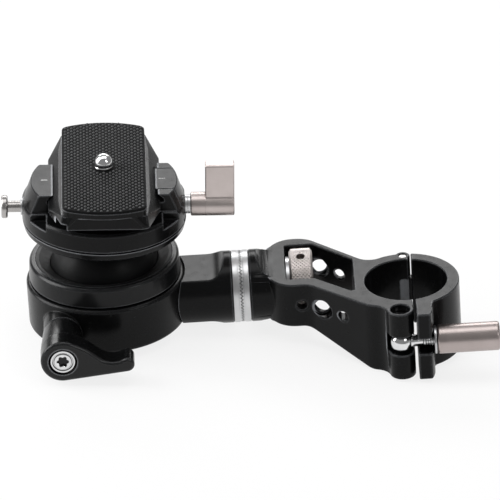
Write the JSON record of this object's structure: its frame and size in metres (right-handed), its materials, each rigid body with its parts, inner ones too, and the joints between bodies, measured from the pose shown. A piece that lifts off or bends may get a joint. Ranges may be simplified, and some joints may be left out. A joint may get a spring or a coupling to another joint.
{
  "type": "ball head with tube clamp",
  "caption": "Low ball head with a dovetail quick-release plate, carried by a toothed rosette arm on a hinged tube clamp with a swing bolt.",
  "frame": {"origin": "centre of the tube clamp's bore, at half its height", "axes": "+Z along the tube, +X from the head to the clamp, -Y towards the swing bolt"},
  "size_m": [0.1664, 0.0778, 0.0714],
  "materials": {
    "bracket": "black anodised, satin",
    "bracket_rosette": "bright machined",
    "tie_knob": "champagne-grey anodised",
    "tie_bolt": "plain steel",
    "tie_washer": "bright machined",
    "clamp_cap": "black anodised, satin",
    "hinge_pin": "plain steel",
    "swing_bolt": "polished",
    "swing_pin": "polished",
    "clamp_washer": "plain steel",
    "clamp_nut": "champagne-grey anodised",
    "neck": "black anodised, satin",
    "neck_rosette": "bright machined",
    "neck_screws": "plain steel",
    "housing": "black anodised, satin",
    "collar": "black anodised, satin",
    "collar_liner": "matt grey",
    "seat_spring": "plain steel",
    "ball_seat": "bright machined",
    "lock_bolt": "plain steel",
    "lock_lever": "matt black",
    "lever_screw": "polished",
    "ball": "black anodised, satin",
    "platform": "black anodised, satin",
    "slip_ring": "matt grey",
    "pan_retainer": "plain steel",
    "stem_screw": "plain steel",
    "clamp_body": "black anodised, satin",
    "moving_jaw": "black anodised, satin",
    "jaw_spring": "plain steel",
    "jaw_washers": "bright machined",
    "qr_lever": "champagne-grey anodised",
    "qr_screw": "plain steel",
    "pull_pin": "plain steel",
    "pull_head": "plain steel",
    "pull_bush": "bright machined",
    "pull_spring": "plain steel",
    "qr_plate": "black anodised, satin",
    "plate_pad": "matt black",
    "camera_screw": "polished",
    "screw_clip": "plain steel"
  },
  "bodies": {
    "arm": {"bracket": "bracket", "bracket_rosette": "bracket_rosette", "hinge_pin": "hinge_pin", "swing_pin": "swing_pin"},
    "cap": {"clamp_cap": "clamp_cap"},
    "swing": {"swing_bolt": "swing_bolt"},
    "washer": {"clamp_washer": "clamp_washer"},
    "nut": {"clamp_nut": "clamp_nut"},
    "tie": {"tie_knob": "tie_knob", "tie_bolt": "tie_bolt", "tie_washer": "tie_washer"},
    "base": {"neck": "neck", "neck_rosette": "neck_rosette", "neck_screws": "neck_screws", "housing": "housing", "collar": "collar", "collar_liner": "collar_liner", "seat_spring": "seat_spring"},
    "lock": {"lock_bolt": "lock_bolt", "lock_lever": "lock_lever", "lever_screw": "lever_screw"},
    "seat": {"ball_seat": "ball_seat"},
    "ball": {"ball": "ball", "platform": "platform", "slip_ring": "slip_ring", "pan_retainer": "pan_retainer", "stem_screw": "stem_screw"},
    "head": {"clamp_body": "clamp_body", "pull_bush": "pull_bush"},
    "jaw": {"moving_jaw": "moving_jaw", "jaw_spring": "jaw_spring", "jaw_washers": "jaw_washers"},
    "lever": {"qr_lever": "qr_lever", "qr_screw": "qr_screw"},
    "pin": {"pull_pin": "pull_pin", "pull_head": "pull_head", "pull_spring": "pull_spring"},
    "plate": {"qr_plate": "qr_plate", "plate_pad": "plate_pad"},
    "screw": {"camera_screw": "camera_screw", "screw_clip": "screw_clip"}
  },
  "joints": [
    {"name": "cap_open", "type": "hinge", "parent": "arm", "child": "cap", "pos_m": [-0.0003, 0.01685, 0], "axis": [0, 0, 1], "range_deg": [0, 6]},
    {"name": "bolt_swing", "type": "hinge", "parent": "arm", "child": "swing", "pos_m": [-0.0029, -0.0202, 0], "axis": [0, 0, 1], "range_deg": [-110, 0]},
    {"name": "washer_slide", "type": "slide", "parent": "swing", "child": "washer", "axis": [1, 0, 0], "range_m": [0, 0.004]},
    {"name": "nut_turn", "type": "hinge", "parent": "washer", "child": "nut", "pos_m": [0.009, -0.0202, 0], "axis": [1, 0, 0], "range_deg": [0, 1760]},
    {"name": "tie_turn", "type": "hinge", "parent": "arm", "child": "tie", "pos_m": [-0.056, 0.0169, 0.0045], "axis": [1, 0, 0], "continuous": true},
    {"name": "base_turn", "type": "hinge", "parent": "arm", "child": "base", "pos_m": [-0.056, 0.0169, 0.0045], "axis": [1, 0, 0], "continuous": true},
    {"name": "lock_turn", "type": "hinge", "parent": "base", "child": "lock", "pos_m": [-0.1175, -0.01, 0.0045], "axis": [0, 1, 0], "range_deg": [0, 110]},
    {"name": "ball_swivel", "type": "hinge", "parent": "base", "child": "seat", "pos_m": [-0.1022, 0.0169, 0.0135], "axis": [0, 0, 1], "continuous": true},
    {"name": "ball_tilt", "type": "hinge", "parent": "seat", "child": "ball", "pos_m": [-0.1022, 0.0169, 0.0135], "axis": [0, 1, 0], "range_deg": [-21, 15]},
    {"name": "head_pan", "type": "hinge", "parent": "ball", "child": "head", "pos_m": [-0.10104, 0.0169, 0.03557], "axis": [0.0523, 0, 0.9986], "continuous": true},
    {"name": "jaw_slide", "type": "slide", "parent": "head", "child": "jaw", "axis": [0.9986, 0, -0.0523], "range_m": [0, 0.002]},
    {"name": "lever_turn", "type": "hinge", "parent": "jaw", "child": "lever", "pos_m": [-0.0709, 0.0169, 0.03759], "axis": [0.9986, 0, -0.0523], "range_deg": [0, 122]},
    {"name": "pin_pull", "type": "slide", "parent": "head", "child": "pin", "axis": [-0.9986, 0, 0.0523], "range_m": [0, 0.003], "stiffness_N_per_m": 600, "springref_m": -0.003, "deforming": ["pull_spring"]},
    {"name": "plate_slide", "type": "slide", "parent": "head", "child": "plate", "axis": [0, 1, 0], "range_m": [-0.01, 0.01]},
    {"name": "screw_turn", "type": "hinge", "parent": "plate", "child": "screw", "pos_m": [-0.10042, 0.0169, 0.04755], "axis": [0.0523, 0, 0.9986], "continuous": true}
  ],
  "couplings": [
    {"joint": "washer_slide", "follows": "cap_open", "m_per_rad": 0.037242},
    {"joint": "nut_turn", "follows": "cap_open", "ratio": 292.5},
    {"joint": "lever_turn", "follows": "jaw_slide", "rad_per_m": 1047.2}
  ]
}
